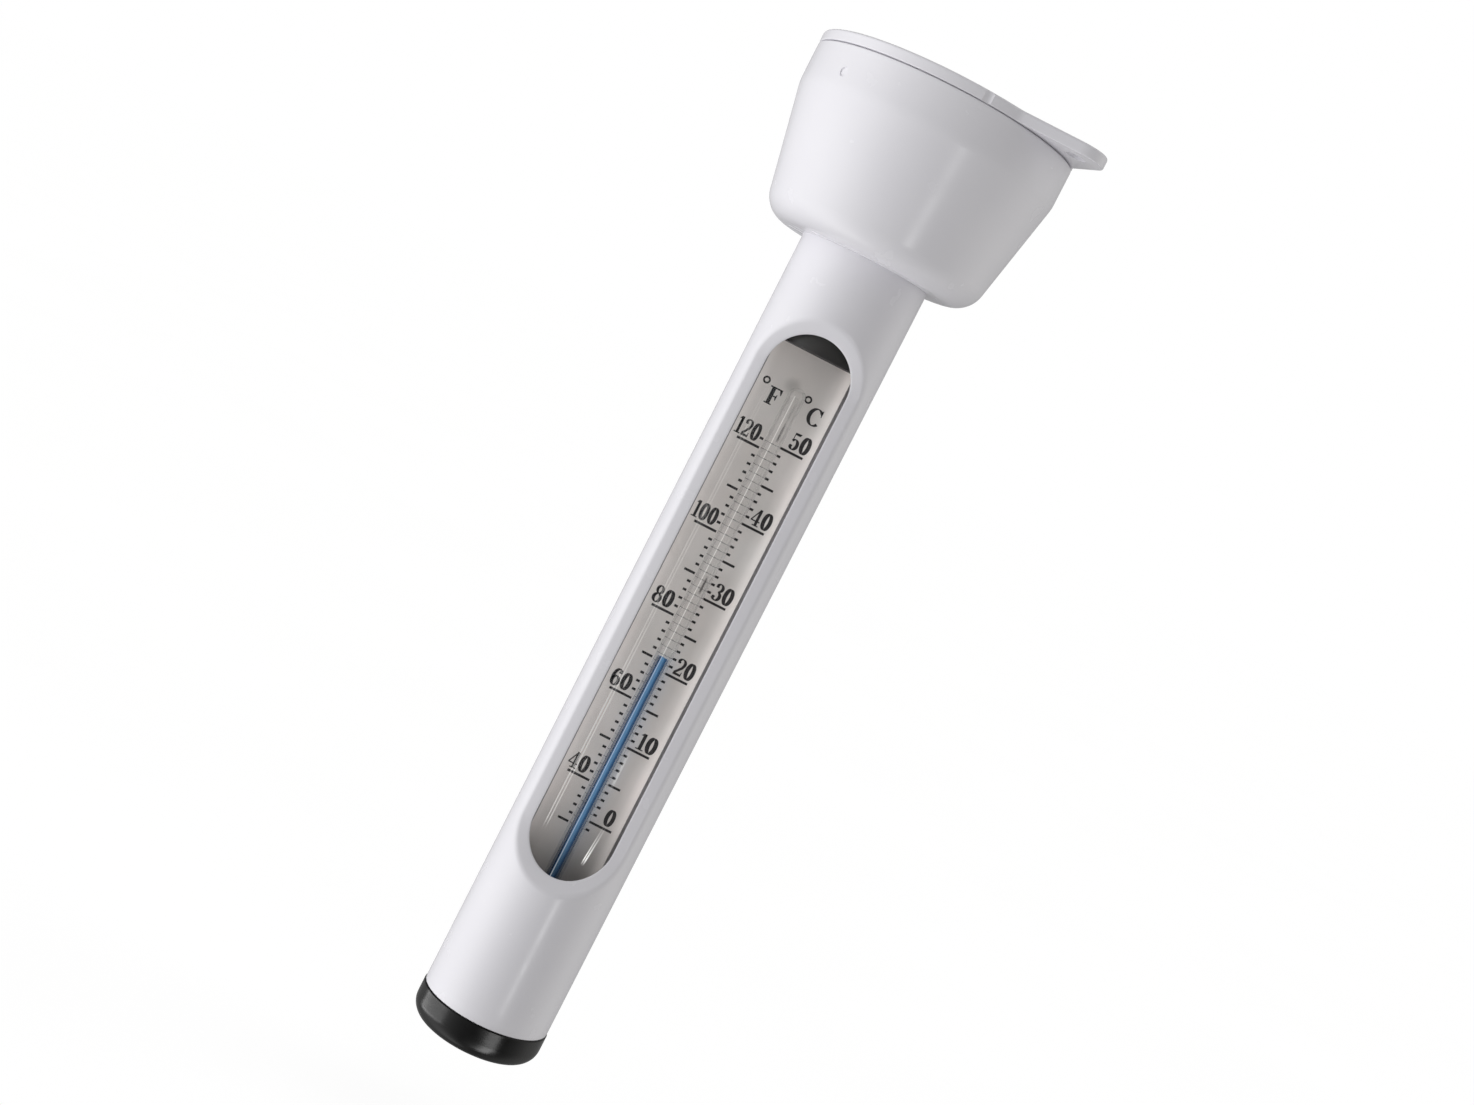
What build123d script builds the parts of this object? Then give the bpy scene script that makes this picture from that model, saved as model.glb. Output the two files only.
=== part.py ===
from build123d import *
import os
from math import cos, radians, sin, sqrt, tan

os.makedirs("parts", exist_ok=True)

# Floating pool thermometer: a white tube with a long window hangs under a hollow float.
# Millimetres, +Z up. The origin is the centre of the end cap's flat bottom, and the
# window faces -Y.

# ---- driving dimensions -------------------------------------------------------------
CAP_HEIGHT = 7.3             # black end cap, from its flat bottom to the tube's end
CAP_R = 14.15
CAP_ROUND = 3.8
TUBE_R = 14.0
TUBE_BORE_R = 11.6
TUBE_TOP = 196.0

WINDOW_HALF_WIDTH = 8.95     # opening, a slot with half-round ends
WINDOW_LOW = 40.7
WINDOW_HIGH = 162.1
RIM_HALF_WIDTH = 11.7        # outer edge of the sunken bezel around the opening
LAND_R = 12.0                # the bezel meets the opening at this radius from the axis
BEZEL_OVERSHOOT = 0.15       # the cut for the bezel runs past both its edges by this share

SLEEVE_R = 11.55
SLEEVE_BORE_R = 10.5
SLEEVE_LOW = 15.5
SLEEVE_TOP = 171.0
INSERT_R = 10.4              # bungs and ballast that sit inside the sleeve

STEM_X = -0.1                # the glass stem stands slightly left of the middle
STEM_Y = -0.9                # and just in front of the card
STEM_R = 1.85
STEM_BORE_R = 0.8
STEM_TIP = 151.2
BULB_R = 3.1
BULB_LOW = 21.0
BULB_HIGH = 29.8
THROAT = 32.8                # the bulb has narrowed to the stem's bore here
LIQUID_R = 0.77
COLUMN_TOP = 89.4            # liquid level at about 21.5 degrees Celsius
MENISCUS_LENGTH = 1.2
MENISCUS_DIP = 0.25

CARD_FRONT_Y = 1.0
CARD_THICKNESS = 1.2
CARD_HALF_WIDTH = 8.7
CARD_SHIFT = -0.25            # the card stands slightly left of the middle
CARD_CORNER = 0.5
CARD_LOW = 35.2
CARD_TOP = 160.5

BALLAST_LOW = 16.0
BALLAST_TOP = 33.4
LOWER_BUNG_TOP = 36.9
UPPER_BUNG_LOW = 158.5
UPPER_BUNG_TOP = 168.9

FLOAT_R = 28.5
FLOAT_LOW = 179.6
FLOAT_KINK = 206.2           # the taper of the bowl ends in an upright band here
FLOAT_TAPER = 11.5           # degrees from upright
FLOAT_WALL = 2.0
RIM_TOP = 214.4
LID_LOW = 214.6
LID_TOP = 217.0

TAB_AZIMUTH = -36.0          # degrees from +X
TAB_REACH = 33.0             # axis of the tether hole, from the float's axis
TAB_TIP_R = 5.8
TAB_SIDE_ANGLE = 36.0
TAB_BLEND = 3.0              # hollow corner where the tab leaves the disc
TAB_ROOT = 24.0              # the tab's sides run in to this distance, inside the disc
TETHER_HOLE_R = 2.25

FIT_GAP = 0.03               # radial clearance of the push fits
LEAD_IN = 0.6                # chamfer that leads a pushed-in part into its bore
RING_SQUEEZE = 0.03          # gap left between a rubber ring and its groove


def seal_ring(centre_radius, section_radius, height):
    """A rubber ring of round section that lies level at the given height."""
    with BuildPart() as ring:
        with BuildSketch(Plane.XZ):
            with Locations((centre_radius, height)):
                Circle(section_radius)
        revolve(axis=Axis.Z)
    return ring.part


def window_slot(half_width):
    """The window's outline in the XZ plane, grown evenly to a half width."""
    grow = half_width - WINDOW_HALF_WIDTH
    with BuildSketch(Plane.XZ) as slot:
        with Locations((0, (WINDOW_LOW + WINDOW_HIGH) / 2)):
            SlotOverall(WINDOW_HIGH - WINDOW_LOW + 2 * grow, 2 * half_width, rotation=90)
    return slot.sketch


def bezel_point(angle, share, level, up):
    """A point of the bezel around a half-round end: share 0 is the opening, 1 the rim."""
    inner_x = WINDOW_HALF_WIDTH * cos(radians(angle))
    outer_x = RIM_HALF_WIDTH * cos(radians(angle))
    inner = Vector(inner_x, -sqrt(LAND_R**2 - inner_x**2), level)
    outer = Vector(outer_x, -sqrt(TUBE_R**2 - outer_x**2), level)
    inner += Vector(0, 0, up * WINDOW_HALF_WIDTH * sin(radians(angle)))
    outer += Vector(0, 0, up * RIM_HALF_WIDTH * sin(radians(angle)))
    return inner + (outer - inner) * share


def bezel_face(level, up):
    """The ruled bezel face around one half-round end, a little past both its edges."""
    steps = range(0, 181, 15)
    near = Edge.make_spline([bezel_point(angle, -BEZEL_OVERSHOOT, level, up) for angle in steps])
    far = Edge.make_spline([bezel_point(angle, 1 + BEZEL_OVERSHOOT, level, up) for angle in steps])
    return Face.make_surface_from_curves(near, far)


# ---- casing tube: white, with the window and its sunken bezel ----------------------
LOW_ARC = WINDOW_LOW + WINDOW_HALF_WIDTH
HIGH_ARC = WINDOW_HIGH - WINDOW_HALF_WIDTH

with BuildPart() as casing_tube:
    with BuildSketch(Plane.XY.offset(CAP_HEIGHT)):
        Circle(TUBE_R)
        Circle(TUBE_BORE_R, mode=Mode.SUBTRACT)
    extrude(amount=TUBE_TOP - CAP_HEIGHT)
    extrude(window_slot(WINDOW_HALF_WIDTH), amount=TUBE_R + 1, mode=Mode.SUBTRACT)
    # the bezel's two straight lands, then its half-round ends
    near = bezel_point(0, -BEZEL_OVERSHOOT, LOW_ARC, 1)
    far = bezel_point(0, 1 + BEZEL_OVERSHOOT, LOW_ARC, 1)
    with BuildSketch(Plane.XY.offset(LOW_ARC)):
        with BuildLine():
            Polyline((near.X, near.Y), (far.X, far.Y), (far.X, -TUBE_R), (near.X, -TUBE_R), close=True)
        make_face()
        mirror(about=Plane.YZ)
    extrude(amount=HIGH_ARC - LOW_ARC, mode=Mode.SUBTRACT)
    extrude(bezel_face(HIGH_ARC, 1), amount=TUBE_R, dir=(0, -1, 0), mode=Mode.SUBTRACT)
    extrude(bezel_face(LOW_ARC, -1), amount=TUBE_R, dir=(0, -1, 0), mode=Mode.SUBTRACT)
casing_tube.part.label = "casing_tube"
export_step(casing_tube.part, "parts/casing_tube.step")

# ---- clear sleeve inside the casing: it seals the window --------------------------
with BuildPart() as window_sleeve:
    with BuildSketch(Plane.XY.offset(SLEEVE_LOW)):
        Circle(SLEEVE_R)
        Circle(SLEEVE_BORE_R, mode=Mode.SUBTRACT)
    extrude(amount=SLEEVE_TOP - SLEEVE_LOW)
window_sleeve.part.label = "window_sleeve"
export_step(window_sleeve.part, "parts/window_sleeve.step")

# ---- end cap: flange below the tube, hollow push-fit plug inside it ----------------
PLUG_TOP = 15.0
PLUG_WALL = 2.6
CAP_FLOOR = 2.4
SEAL_SECTION = 0.73
CAP_GROOVE_LOW = 10.2
CAP_GROOVE_WIDTH = 1.7
GROOVE_R = 10.1
CAP_CHAMFER = 0.25

with BuildPart() as end_cap:
    with BuildSketch(Plane.XY):
        Circle(CAP_R)
    extrude(amount=CAP_HEIGHT)
    fillet(end_cap.edges().sort_by(Axis.Z)[0], radius=CAP_ROUND)
    chamfer(end_cap.edges().sort_by(Axis.Z)[-1], length=CAP_CHAMFER)
    with BuildSketch(Plane.XY.offset(CAP_HEIGHT)):
        Circle(TUBE_BORE_R - FIT_GAP)
    extrude(amount=PLUG_TOP - CAP_HEIGHT)
    chamfer(end_cap.edges().sort_by(Axis.Z)[-1], length=LEAD_IN)
    with BuildSketch(Plane.XY.offset(CAP_FLOOR)):
        Circle(GROOVE_R - PLUG_WALL)
    extrude(amount=PLUG_TOP - CAP_FLOOR, mode=Mode.SUBTRACT)
    with BuildSketch(Plane.XY.offset(CAP_GROOVE_LOW)):
        Circle(TUBE_BORE_R)
        Circle(GROOVE_R, mode=Mode.SUBTRACT)
    extrude(amount=CAP_GROOVE_WIDTH, mode=Mode.SUBTRACT)
end_cap.part.label = "end_cap"
export_step(end_cap.part, "parts/end_cap.step")

# ---- rubber ring in the end cap's groove -------------------------------------------
end_cap_seal = seal_ring(GROOVE_R + RING_SQUEEZE / 2 + SEAL_SECTION, SEAL_SECTION,
                         CAP_GROOVE_LOW + CAP_GROOVE_WIDTH / 2)
end_cap_seal.label = "end_cap_seal"
export_step(end_cap_seal, "parts/end_cap_seal.step")

# ---- steel ballast in the foot of the sleeve, bored for the glass bulb -------------
BALLAST_BORE_R = 4.2
PAD_LOW = 18.8
PAD_GAP = 0.1

with BuildPart() as ballast_weight:
    with BuildSketch(Plane.XY.offset(BALLAST_LOW)):
        Circle(INSERT_R)
    extrude(amount=BALLAST_TOP - BALLAST_LOW)
    chamfer(ballast_weight.edges(), length=LEAD_IN)
    with BuildSketch(Plane.XY.offset(PAD_LOW)):
        Circle(BALLAST_BORE_R)
    extrude(amount=BALLAST_TOP - PAD_LOW, mode=Mode.SUBTRACT)
ballast_weight.part.label = "ballast_weight"
export_step(ballast_weight.part, "parts/ballast_weight.step")

# ---- soft pad that keeps the bulb off the steel ------------------------------------
with BuildPart() as bulb_pad:
    with BuildSketch(Plane.XY.offset(PAD_LOW)):
        Circle(BALLAST_BORE_R - PAD_GAP)
    extrude(amount=BULB_LOW - PAD_LOW - FIT_GAP)
bulb_pad.part.label = "bulb_pad"
export_step(bulb_pad.part, "parts/bulb_pad.step")

# ---- glass stem: bulb, throat, thick-walled capillary and round tip ----------------
GLASS_WALL = 0.6
SHOULDER_RISE = 0.6          # the outside narrows to the stem this far above the throat
SHOULDER_START = 0.3         # and starts to narrow this far above the bulb's cavity
BORE_TOP = 148.4
STEM_AXIS = Axis((STEM_X, STEM_Y, 0), (0, 0, 1))
STEM_PLANE = Plane((STEM_X, STEM_Y, 0), x_dir=(1, 0, 0), z_dir=(0, -1, 0))
CAVITY_R = BULB_R - GLASS_WALL
CAVITY_LOW = BULB_LOW + GLASS_WALL

with BuildPart() as glass_stem:
    with BuildSketch(STEM_PLANE):
        with BuildLine():
            Line((0, BULB_LOW), (0, CAVITY_LOW))
            RadiusArc((0, CAVITY_LOW), (CAVITY_R, CAVITY_LOW + CAVITY_R), -CAVITY_R)
            Line((CAVITY_R, CAVITY_LOW + CAVITY_R), (CAVITY_R, BULB_HIGH))
            Line((CAVITY_R, BULB_HIGH), (STEM_BORE_R, THROAT))
            Line((STEM_BORE_R, THROAT), (STEM_BORE_R, BORE_TOP))
            RadiusArc((STEM_BORE_R, BORE_TOP), (0, BORE_TOP + STEM_BORE_R), -STEM_BORE_R)
            Line((0, BORE_TOP + STEM_BORE_R), (0, STEM_TIP))
            RadiusArc((0, STEM_TIP), (STEM_R, STEM_TIP - STEM_R), STEM_R)
            Line((STEM_R, STEM_TIP - STEM_R), (STEM_R, THROAT + SHOULDER_RISE))
            Line((STEM_R, THROAT + SHOULDER_RISE), (BULB_R, BULB_HIGH + SHOULDER_START))
            Line((BULB_R, BULB_HIGH + SHOULDER_START), (BULB_R, BULB_LOW + BULB_R))
            RadiusArc((BULB_R, BULB_LOW + BULB_R), (0, BULB_LOW), BULB_R)
        make_face()
    revolve(axis=STEM_AXIS)
glass_stem.part.label = "glass_stem"
export_step(glass_stem.part, "parts/glass_stem.step")

# ---- indicator liquid: the fill of the bulb, the column and its upper end ----------
FILL_R = CAVITY_R - FIT_GAP
FILL_LOW = CAVITY_LOW + FIT_GAP
MENISCUS_LOW = COLUMN_TOP - MENISCUS_LENGTH

with BuildPart() as bulb_liquid:
    with BuildSketch(STEM_PLANE):
        with BuildLine():
            RadiusArc((0, FILL_LOW), (FILL_R, FILL_LOW + FILL_R), -FILL_R)
            Line((FILL_R, FILL_LOW + FILL_R), (FILL_R, BULB_HIGH - FIT_GAP))
            Line((FILL_R, BULB_HIGH - FIT_GAP), (LIQUID_R, THROAT - FIT_GAP))
            Line((LIQUID_R, THROAT - FIT_GAP), (0, THROAT - FIT_GAP))
            Line((0, THROAT - FIT_GAP), (0, FILL_LOW))
        make_face()
    revolve(axis=STEM_AXIS)
bulb_liquid.part.label = "bulb_liquid"
export_step(bulb_liquid.part, "parts/bulb_liquid.step")

with BuildPart() as indicator_column:
    with BuildSketch(Plane.XY.offset(THROAT)):
        with Locations((STEM_X, STEM_Y)):
            Circle(LIQUID_R)
    extrude(amount=MENISCUS_LOW - THROAT)
indicator_column.part.label = "indicator_column"
export_step(indicator_column.part, "parts/indicator_column.step")

with BuildPart() as indicator_meniscus:
    with BuildSketch(STEM_PLANE):
        with BuildLine():
            Line((0, MENISCUS_LOW), (LIQUID_R, MENISCUS_LOW))
            Line((LIQUID_R, MENISCUS_LOW), (LIQUID_R, COLUMN_TOP))
            TangentArc((0, COLUMN_TOP - MENISCUS_DIP), (LIQUID_R, COLUMN_TOP), tangent=(1, 0))
            Line((0, COLUMN_TOP - MENISCUS_DIP), (0, MENISCUS_LOW))
        make_face()
    revolve(axis=STEM_AXIS)
indicator_meniscus.part.label = "indicator_meniscus"
export_step(indicator_meniscus.part, "parts/indicator_meniscus.step")

# ---- scale card: flat, behind the stem ---------------------------------------------
with BuildPart() as scale_card:
    with BuildSketch(Plane.XZ.offset(-CARD_FRONT_Y)):
        with Locations((CARD_SHIFT, (CARD_LOW + CARD_TOP) / 2)):
            Rectangle(2 * CARD_HALF_WIDTH, CARD_TOP - CARD_LOW)
    extrude(amount=-CARD_THICKNESS)
    fillet(scale_card.edges().filter_by(Axis.Y), radius=CARD_CORNER)
scale_card.part.label = "scale_card"
export_step(scale_card.part, "parts/scale_card.step")

# ---- black rubber bungs that hold the card in the sleeve ---------------------------
CARD_SLOT_GAP = 0.05
STEM_HOLE_GAP = 0.05


def card_slot():
    """The slot that the card's end stands in, as a sketch in the XY plane."""
    with BuildSketch() as slot:
        with Locations((CARD_SHIFT, CARD_FRONT_Y + CARD_THICKNESS / 2)):
            Rectangle(2 * (CARD_HALF_WIDTH + CARD_SLOT_GAP), CARD_THICKNESS + 2 * CARD_SLOT_GAP)
    return slot.sketch


with BuildPart() as lower_bung:
    with BuildSketch(Plane.XY.offset(BALLAST_TOP)):
        Circle(INSERT_R)
        with Locations((STEM_X, STEM_Y)):
            Circle(STEM_R + STEM_HOLE_GAP, mode=Mode.SUBTRACT)
    extrude(amount=LOWER_BUNG_TOP - BALLAST_TOP)
    with BuildSketch(Plane.XY.offset(CARD_LOW)):
        add(card_slot())
    extrude(amount=LOWER_BUNG_TOP - CARD_LOW, mode=Mode.SUBTRACT)
lower_bung.part.label = "lower_bung"
export_step(lower_bung.part, "parts/lower_bung.step")

with BuildPart() as upper_bung:
    with BuildSketch(Plane.XY.offset(UPPER_BUNG_LOW)):
        Circle(INSERT_R)
    extrude(amount=UPPER_BUNG_TOP - UPPER_BUNG_LOW)
    with BuildSketch(Plane.XY.offset(UPPER_BUNG_LOW)):
        add(card_slot())
    extrude(amount=CARD_TOP - UPPER_BUNG_LOW, mode=Mode.SUBTRACT)
upper_bung.part.label = "upper_bung"
export_step(upper_bung.part, "parts/upper_bung.step")

# ---- plug that closes the casing's upper end, and its ring -------------------------
PLUG_LOW = 187.0
PLUG_HEAD_HEIGHT = 2.0
PLUG_GROOVE_LOW = 190.0
PLUG_HEAD_CHAMFER = 0.4

with BuildPart() as tube_plug:
    with BuildSketch(Plane.XY.offset(PLUG_LOW)):
        Circle(TUBE_BORE_R - FIT_GAP)
    extrude(amount=TUBE_TOP - PLUG_LOW)
    chamfer(tube_plug.edges().sort_by(Axis.Z)[0], length=LEAD_IN)
    with BuildSketch(Plane.XY.offset(TUBE_TOP)):
        Circle(TUBE_R)
    extrude(amount=PLUG_HEAD_HEIGHT)
    chamfer(tube_plug.edges().sort_by(Axis.Z)[-1], length=PLUG_HEAD_CHAMFER)
    with BuildSketch(Plane.XY.offset(PLUG_GROOVE_LOW)):
        Circle(TUBE_BORE_R)
        Circle(GROOVE_R, mode=Mode.SUBTRACT)
    extrude(amount=CAP_GROOVE_WIDTH, mode=Mode.SUBTRACT)
    with BuildSketch(Plane.XY.offset(PLUG_LOW)):
        Circle(GROOVE_R - PLUG_WALL)
    extrude(amount=TUBE_TOP - PLUG_LOW, mode=Mode.SUBTRACT)
tube_plug.part.label = "tube_plug"
export_step(tube_plug.part, "parts/tube_plug.step")

tube_plug_seal = seal_ring(GROOVE_R + RING_SQUEEZE / 2 + SEAL_SECTION, SEAL_SECTION,
                           PLUG_GROOVE_LOW + CAP_GROOVE_WIDTH / 2)
tube_plug_seal.label = "tube_plug_seal"
export_step(tube_plug_seal, "parts/tube_plug_seal.step")

# ---- float bowl: hollow, with a collar around the casing ---------------------------
BOWL_FOOT_R = FLOAT_R - (FLOAT_KINK - FLOAT_LOW) * tan(radians(FLOAT_TAPER))
BOWL_ROUND = 6.0
KINK_ROUND = 9.0
EDGE_ROUND = 0.3
COLLAR_R = 17.0
COLLAR_TOP = 190.5
COLLAR_GROOVE_LOW = 184.0
COLLAR_GROOVE_R = 15.5
RIM_LIP = 0.9
GATE_AZIMUTH = -136.0
GATE_BELOW_SEAM = 5.5
GATE_R = 0.9
GATE_DEPTH = 0.25
GATE_FLARE = 20.0            # the mark's side leans out by this many degrees

with BuildPart() as float_bowl:
    with BuildSketch(Plane.XZ):
        with BuildLine():
            Polyline((0, FLOAT_LOW), (BOWL_FOOT_R, FLOAT_LOW), (FLOAT_R, FLOAT_KINK),
                     (FLOAT_R, RIM_TOP), (0, RIM_TOP), close=True)
        make_face()
        fillet(vertices().group_by(Axis.Y)[0].sort_by(Axis.X)[-1], radius=BOWL_ROUND)
        fillet(vertices().group_by(Axis.X)[-1].sort_by(Axis.Y)[0], radius=KINK_ROUND)
    revolve(axis=Axis.Z)
    offset(amount=-FLOAT_WALL, openings=float_bowl.faces().sort_by(Axis.Z)[-1])
    # inner half of the rim: the lid rests here, a hair above the outer edge
    with BuildSketch(Plane.XY.offset(RIM_TOP)):
        Circle(FLOAT_R - RIM_LIP)
        Circle(FLOAT_R - FLOAT_WALL, mode=Mode.SUBTRACT)
    extrude(amount=LID_LOW - RIM_TOP)
    rim_edges = float_bowl.edges().filter_by_position(Axis.Z, RIM_TOP, RIM_TOP)
    fillet(rim_edges.sort_by(SortBy.LENGTH)[-1], radius=EDGE_ROUND)
    with BuildSketch(Plane.XY.offset(FLOAT_LOW)):
        Circle(COLLAR_R)
    extrude(amount=COLLAR_TOP - FLOAT_LOW)
    with BuildSketch(Plane.XY.offset(FLOAT_LOW)):
        Circle(TUBE_R + FIT_GAP)
    extrude(amount=COLLAR_TOP - FLOAT_LOW, mode=Mode.SUBTRACT)
    with BuildSketch(Plane.XY.offset(COLLAR_GROOVE_LOW)):
        Circle(COLLAR_GROOVE_R)
    extrude(amount=CAP_GROOVE_WIDTH, mode=Mode.SUBTRACT)
    # shallow mark left by the moulding gate
    with BuildSketch(Plane((0, 0, RIM_TOP - GATE_BELOW_SEAM), x_dir=(0, 0, 1),
                           z_dir=(cos(radians(GATE_AZIMUTH)), sin(radians(GATE_AZIMUTH)), 0))
                     .offset(FLOAT_R - GATE_DEPTH)):
        Circle(GATE_R)
    extrude(amount=4 * GATE_DEPTH, taper=-GATE_FLARE, mode=Mode.SUBTRACT)
float_bowl.part.label = "float_bowl"
export_step(float_bowl.part, "parts/float_bowl.step")

COLLAR_SEAL_R = (TUBE_R + COLLAR_GROOVE_R) / 2
collar_seal = seal_ring(COLLAR_SEAL_R, COLLAR_GROOVE_R - COLLAR_SEAL_R - RING_SQUEEZE,
                        COLLAR_GROOVE_LOW + CAP_GROOVE_WIDTH / 2)
collar_seal.label = "collar_seal"
export_step(collar_seal, "parts/collar_seal.step")

# ---- float lid: disc with a tether tab, and a spigot that enters the bowl ----------
SPIGOT_R = FLOAT_R - FLOAT_WALL - FIT_GAP
SPIGOT_WALL = 3.0
SPIGOT_DEPTH = 5.0
LID_GROOVE_R = 25.0
LID_GROOVE_WIDTH = 1.7
LID_GROOVE_LOW = 210.9
NOTCH_AZIMUTH = -77.0
NOTCH_R = 1.6
NOTCH_DEPTH = 0.35
LID_ROUND = 0.6

SIDE = radians(TAB_SIDE_ANGLE)
TIP_X = TAB_REACH + TAB_TIP_R * sin(SIDE)
TIP_Y = TAB_TIP_R * cos(SIDE)
ROOT_Y = TIP_Y + (TIP_X - TAB_ROOT) * tan(SIDE)

with BuildPart() as float_lid:
    with BuildSketch(Plane.XY.offset(LID_LOW).rotated((0, 0, TAB_AZIMUTH))):
        Circle(FLOAT_R)
        with Locations((TAB_REACH, 0)):
            Circle(TAB_TIP_R)
        Polygon((0, ROOT_Y), (TAB_ROOT, ROOT_Y), (TIP_X, TIP_Y), (TIP_X, -TIP_Y), (TAB_ROOT, -ROOT_Y),
                (0, -ROOT_Y), align=None)
        fillet(vertices().group_by(SortBy.DISTANCE)[0], radius=TAB_BLEND)
    extrude(amount=LID_TOP - LID_LOW)
    fillet(float_lid.faces().sort_by(Axis.Z)[-1].edges(), radius=LID_ROUND)
    fillet(float_lid.faces().sort_by(Axis.Z)[0].edges(), radius=EDGE_ROUND)
    with Locations(Plane.XY.offset(LID_TOP).rotated((0, 0, TAB_AZIMUTH))):
        with Locations((TAB_REACH, 0)):
            Hole(radius=TETHER_HOLE_R, depth=LID_TOP - LID_LOW)
    # shallow flute across the edge, to pry the lid up by
    with BuildSketch(Plane.XY.offset(LID_LOW)):
        with PolarLocations(FLOAT_R + NOTCH_R - NOTCH_DEPTH, 1, start_angle=NOTCH_AZIMUTH):
            Circle(NOTCH_R)
    extrude(amount=LID_TOP - LID_LOW, mode=Mode.SUBTRACT)
    with BuildSketch(Plane.XY.offset(LID_LOW)):
        Circle(SPIGOT_R)
        Circle(SPIGOT_R - SPIGOT_WALL, mode=Mode.SUBTRACT)
    extrude(amount=-SPIGOT_DEPTH)
    with BuildSketch(Plane.XY.offset(LID_GROOVE_LOW)):
        Circle(SPIGOT_R + 1)
        Circle(LID_GROOVE_R, mode=Mode.SUBTRACT)
    extrude(amount=LID_GROOVE_WIDTH, mode=Mode.SUBTRACT)
float_lid.part.label = "float_lid"
export_step(float_lid.part, "parts/float_lid.step")

LID_SEAL_R = (LID_GROOVE_R + FLOAT_R - FLOAT_WALL) / 2
lid_seal = seal_ring(LID_SEAL_R, LID_SEAL_R - LID_GROOVE_R - RING_SQUEEZE,
                     LID_GROOVE_LOW + LID_GROOVE_WIDTH / 2)
lid_seal.label = "lid_seal"
export_step(lid_seal, "parts/lid_seal.step")
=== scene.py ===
"""Looks of the floating pool thermometer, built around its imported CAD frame."""

import math

import bmesh
import bpy
from mathutils import Matrix, Vector


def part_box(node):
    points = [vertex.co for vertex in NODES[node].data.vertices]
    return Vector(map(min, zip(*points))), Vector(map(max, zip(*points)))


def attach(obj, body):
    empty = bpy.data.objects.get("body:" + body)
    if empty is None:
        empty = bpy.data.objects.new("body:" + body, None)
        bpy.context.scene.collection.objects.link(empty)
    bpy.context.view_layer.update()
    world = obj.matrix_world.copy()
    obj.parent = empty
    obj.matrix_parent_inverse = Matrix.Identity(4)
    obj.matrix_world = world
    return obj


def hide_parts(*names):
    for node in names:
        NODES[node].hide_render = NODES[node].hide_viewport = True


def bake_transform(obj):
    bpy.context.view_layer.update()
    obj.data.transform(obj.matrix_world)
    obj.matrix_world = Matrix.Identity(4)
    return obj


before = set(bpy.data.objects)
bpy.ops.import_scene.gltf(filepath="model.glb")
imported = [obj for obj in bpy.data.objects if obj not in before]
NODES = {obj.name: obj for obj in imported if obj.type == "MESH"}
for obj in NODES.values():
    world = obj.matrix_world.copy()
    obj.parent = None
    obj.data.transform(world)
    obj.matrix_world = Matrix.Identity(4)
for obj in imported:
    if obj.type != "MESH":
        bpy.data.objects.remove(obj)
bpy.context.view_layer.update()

MM = 0.001
BODY = "thermometer"
SCENE = bpy.context.scene


# ---- places taken from the frame, in millimetres ------------------------------------

def box_mm(node):
    low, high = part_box(node)
    return low / MM, high / MM


TUBE_LOW, TUBE_HIGH = (corner.z for corner in box_mm("casing_tube"))
TUBE_R = box_mm("casing_tube")[1].x
SLEEVE_R = box_mm("window_sleeve")[1].x
CARD_LOW, CARD_HIGH = box_mm("scale_card")
STEM_LOW, STEM_HIGH = box_mm("glass_stem")
STEM_X, STEM_Y = ((low + high) / 2 for low, high in zip(STEM_LOW[:2], STEM_HIGH[:2]))
COLUMN_LOW = box_mm("indicator_column")[0].z
LEVEL = box_mm("indicator_meniscus")[1].z
CARD_FRONT = CARD_LOW.y

# the window: a slot with half-round ends and a sunken bezel around it
WINDOW_LOW = 40.7
WINDOW_HIGH = 162.1
WINDOW_HALF = 8.95           # half of the opening's width
RIM_HALF = 11.7              # half of the bezel's width on the tube
LAND_R = 12.0                # distance from the axis at which the bezel meets the opening
SLEEVE_GAP = 0.05
BORE_R = SLEEVE_R + SLEEVE_GAP
LOW_ARC = WINDOW_LOW + WINDOW_HALF
HIGH_ARC = WINDOW_HIGH - WINDOW_HALF


# ---- shader helpers -----------------------------------------------------------------

def new_material(name):
    """An empty node material, its node tree and its output node."""
    material = bpy.data.materials.new(name)
    material.use_nodes = True
    material.node_tree.nodes.clear()
    return material, material.node_tree, material.node_tree.nodes.new("ShaderNodeOutputMaterial")


def add_node(tree, kind, inputs=None, **settings):
    """One shader node, with its settings, and input values or links by socket name or index."""
    node = tree.nodes.new(kind)
    for key, value in settings.items():
        setattr(node, key, value)
    for key, value in (inputs or {}).items():
        if isinstance(value, bpy.types.NodeSocket):
            tree.links.new(value, node.inputs[key])
        else:
            node.inputs[key].default_value = value
    return node


def math_node(tree, operation, a, b=0.0, c=0.0):
    node = add_node(tree, "ShaderNodeMath", {0: a, 1: b, 2: c}, operation=operation)
    return node.outputs[0]


def times(tree, a, b):
    return math_node(tree, "MULTIPLY", a, b)


def vector_node(tree, operation, a, b):
    return add_node(tree, "ShaderNodeVectorMath", {0: a, 1: b}, operation=operation).outputs


def split(tree, vector):
    """The X, Y and Z outputs of a vector."""
    return add_node(tree, "ShaderNodeSeparateXYZ", {0: vector}).outputs


def clear(tree, colour):
    return add_node(tree, "ShaderNodeBsdfTransparent", {"Color": colour})


def mixed(tree, share, first, second):
    """The first shader where the share is 0, and the second where it is 1."""
    return add_node(tree, "ShaderNodeMixShader", {0: share, 1: first.outputs[0], 2: second.outputs[0]})


def grey(value):
    return (value, value, value, 1.0)


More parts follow.
